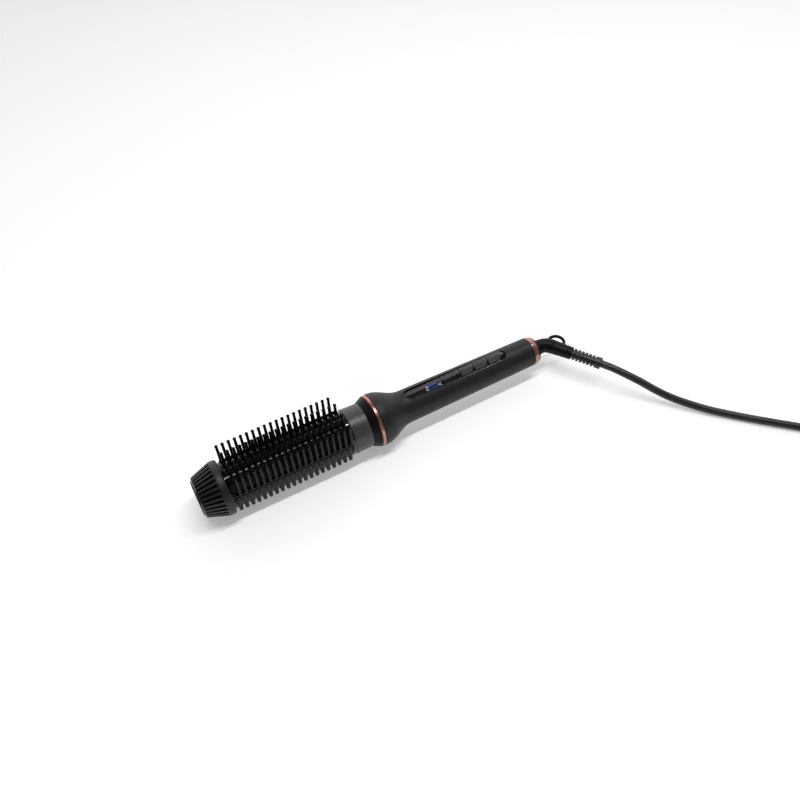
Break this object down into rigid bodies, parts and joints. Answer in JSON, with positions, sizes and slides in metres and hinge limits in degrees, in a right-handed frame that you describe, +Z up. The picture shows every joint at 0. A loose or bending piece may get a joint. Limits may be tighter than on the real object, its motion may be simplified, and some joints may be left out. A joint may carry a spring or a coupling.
{
  "type": "hot air brush",
  "caption": "Heated styling brush with a vented tip, ball-ended bristle rows, a display and keys on a bulged handle, and a swivel lead.",
  "frame": {"origin": "bottom centre of the brush with its swivel and strain relief, without the free lead", "axes": "+X along the brush from the vented tip to the swivel, +Z up out of the control panel"},
  "size_m": [0.5495, 0.3415, 0.0596],
  "materials": {
    "soft_touch_black": "soft-touch matte",
    "cap_black": "fine matt",
    "satin_grey": "satin dark grey",
    "gloss_black": "high gloss",
    "heated_coating": "gloss ceramic coating on aluminium",
    "bristle_black": "satin nylon",
    "rose_gold": "polished rose gold",
    "button_black": "satin",
    "display_glass": "smoked clear window",
    "display_blue": "lit blue segment display",
    "white_plastic": "diffusing white",
    "heat_resin": "heat-resistant resin",
    "liner_black": "matt black",
    "raw_aluminium": "extruded",
    "ptc_ceramic": "fired ceramic",
    "brass_contact": "plain",
    "steel": "zinc plated",
    "sensor_film": "polyimide film",
    "board_green": "solder mask",
    "component_black": "moulded",
    "wire_white": "silicone sheath",
    "cord_black": "smooth PVC sheath",
    "plug_black": "moulded PVC",
    "plug_nickel": "nickel plated"
  },
  "bodies": {
    "handle": {"tip_disc": "cap_black", "tip_cap": "cap_black", "tip_liner": "liner_black", "tip_screw": "steel", "front_plug": "heat_resin", "barrel_tube": "heated_coating", "bristle_sleeve": "bristle_black", "far_outer_row": "bristle_black", "far_inner_row": "bristle_black", "near_inner_row": "bristle_black", "near_outer_row": "bristle_black", "upper_heat_spreader": "raw_aluminium", "lower_heat_spreader": "raw_aluminium", "ptc_heater": "ptc_ceramic", "electrode_plates": "brass_contact", "temperature_sensor": "sensor_film", "thermal_fuse": "steel", "neck_insulator": "heat_resin", "end_ring": "gloss_black", "collar": "satin_grey", "nose_ring": "soft_touch_black", "front_trim_ring": "rose_gold", "upper_handle": "soft_touch_black", "lower_handle": "soft_touch_black", "shell_screws": "steel", "control_panel": "gloss_black", "display_window": "display_glass", "lcd_display": "display_blue", "lcd_backlight": "white_plastic", "tact_switches": "component_black", "control_board": "board_green", "board_components": "component_black", "heater_leads": "wire_white", "supply_leads": "wire_white", "rear_trim_ring": "rose_gold", "rear_cover": "soft_touch_black", "swivel_housing": "component_black", "contact_springs": "brass_contact"},
    "power_button": {"power_button": "button_black"},
    "plus_button": {"plus_button": "button_black"},
    "minus_button": {"minus_button": "button_black"},
    "swivel": {"swivel_shaft": "soft_touch_black", "slip_rings": "brass_contact", "swivel_elbow": "soft_touch_black", "strain_relief": "cord_black", "cord_lead": "cord_black", "cord_coil": "cord_black", "cord_tie": "liner_black", "cord_end": "cord_black", "plug_body": "plug_black", "plug_pins": "plug_nickel"}
  },
  "joints": [
    {"name": "power_press", "type": "slide", "parent": "handle", "child": "power_button", "axis": [0, 0, -1], "range_m": [0, 0.0006], "stiffness_N_per_m": 600},
    {"name": "plus_press", "type": "slide", "parent": "handle", "child": "plus_button", "axis": [0, 0, -1], "range_m": [0, 0.0006], "stiffness_N_per_m": 600},
    {"name": "minus_press", "type": "slide", "parent": "handle", "child": "minus_button", "axis": [0, 0, -1], "range_m": [0, 0.0006], "stiffness_N_per_m": 600},
    {"name": "cord_swivel", "type": "hinge", "parent": "handle", "child": "swivel", "pos_m": [0.144, 0.012, 0.024], "axis": [1, 0, 0], "continuous": true}
  ]
}
